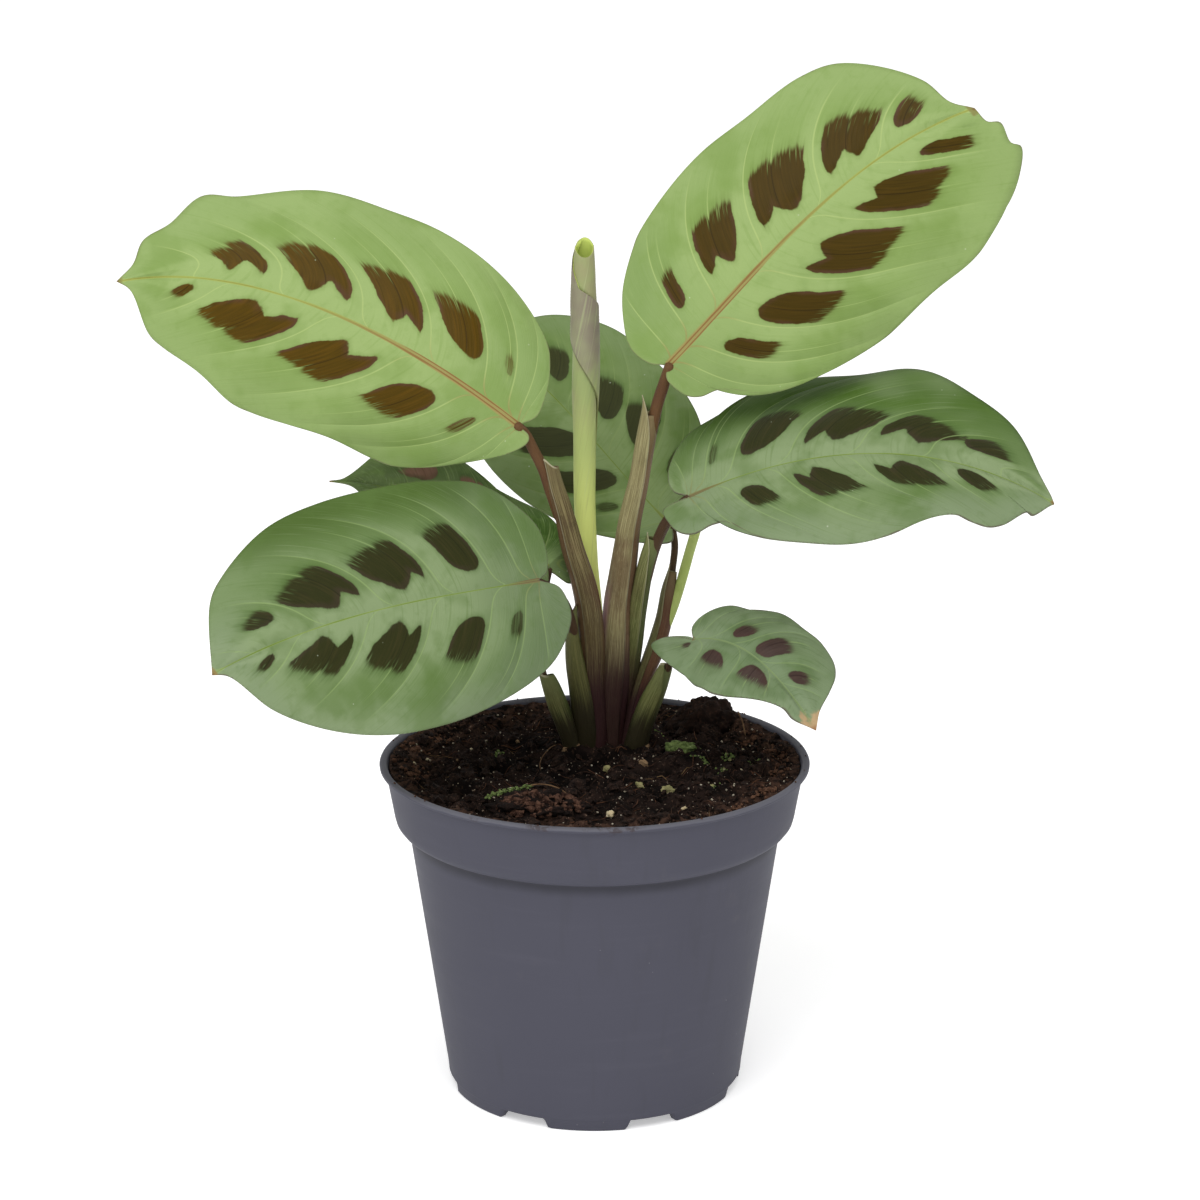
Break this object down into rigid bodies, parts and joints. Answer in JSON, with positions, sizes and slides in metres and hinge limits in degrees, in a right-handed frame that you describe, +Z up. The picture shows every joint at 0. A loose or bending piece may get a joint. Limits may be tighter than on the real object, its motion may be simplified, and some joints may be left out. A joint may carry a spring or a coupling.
{
  "type": "potted prayer plant maranta",
  "caption": "Prayer plant with broad blotched leaves on sheathed stems and a rolled young leaf, growing in a round tapered nursery pot filled with dark soil.",
  "frame": {"origin": "on the floor, under the middle of the whole plant's box; the pot's axis is 4.5 mm towards +X and 16.8 mm towards -Y of it", "axes": "+Z up along the pot's axis, +X to the right and +Y to the back of the plant as pictured"},
  "size_m": [0.2552, 0.159, 0.2832],
  "materials": {
    "pot_plastic": "satin",
    "potting_soil": "matte",
    "bark": "matte",
    "moss": "matte",
    "root": "matte",
    "bright_leaf": "satin",
    "dark_leaf": "satin",
    "rolled_leaf": "satin",
    "petiole": "satin",
    "brown_sheath": "satin",
    "green_sheath": "satin"
  },
  "bodies": {
    "root": {"pot": "pot_plastic", "soil": "potting_soil", "peat_lump": "potting_soil", "bark_lump": "bark", "moss_tuft": "moss", "rhizome": "root", "leaf_upper_left": "bright_leaf", "leaf_upper_right": "bright_leaf", "leaf_middle_right": "dark_leaf", "leaf_lower_left": "dark_leaf", "leaf_back_centre": "dark_leaf", "leaf_back_left": "dark_leaf", "leaf_small_right": "dark_leaf", "rolled_leaf": "rolled_leaf", "young_spear": "rolled_leaf", "petiole_upper_left": "petiole", "petiole_upper_right": "petiole", "petiole_middle_right": "petiole", "petiole_lower_left": "petiole", "petiole_back_centre": "petiole", "petiole_back_left": "petiole", "petiole_small_right": "petiole", "sheath_upper_left": "brown_sheath", "sheath_upper_right": "brown_sheath", "sheath_middle_right": "brown_sheath", "sheath_back_centre": "brown_sheath", "sheath_small_right": "green_sheath", "sheath_back_left": "green_sheath", "sheath_lower_left": "green_sheath"}
  },
  "joints": []
}
